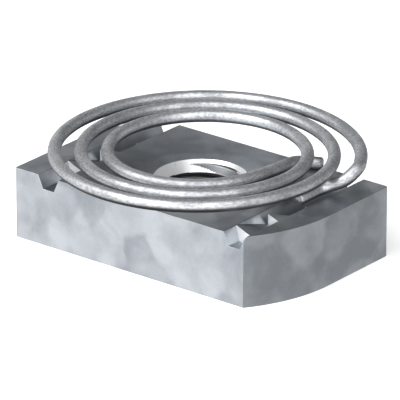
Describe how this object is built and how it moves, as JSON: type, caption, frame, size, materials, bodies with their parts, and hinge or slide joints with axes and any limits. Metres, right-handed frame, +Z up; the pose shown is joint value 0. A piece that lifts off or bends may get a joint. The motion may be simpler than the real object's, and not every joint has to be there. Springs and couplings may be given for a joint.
{
  "type": "strut channel spring nut",
  "caption": "Threaded nut block with toothed grooves for strut channel, carried by a flat spiral wire spring welded to its top face.",
  "frame": {"origin": "on the axis of the threaded hole, at the underside of the nut block", "axes": "+Z up along the thread towards the toothed face and the spring, +X along the block"},
  "size_m": [0.0344, 0.0333, 0.0115],
  "materials": {
    "zinc_steel": "zinc plated, softly mottled",
    "spring_wire": "drawn wire, bright"
  },
  "bodies": {
    "root": {"nut_body": "zinc_steel", "coil_spring": "spring_wire"}
  },
  "joints": []
}
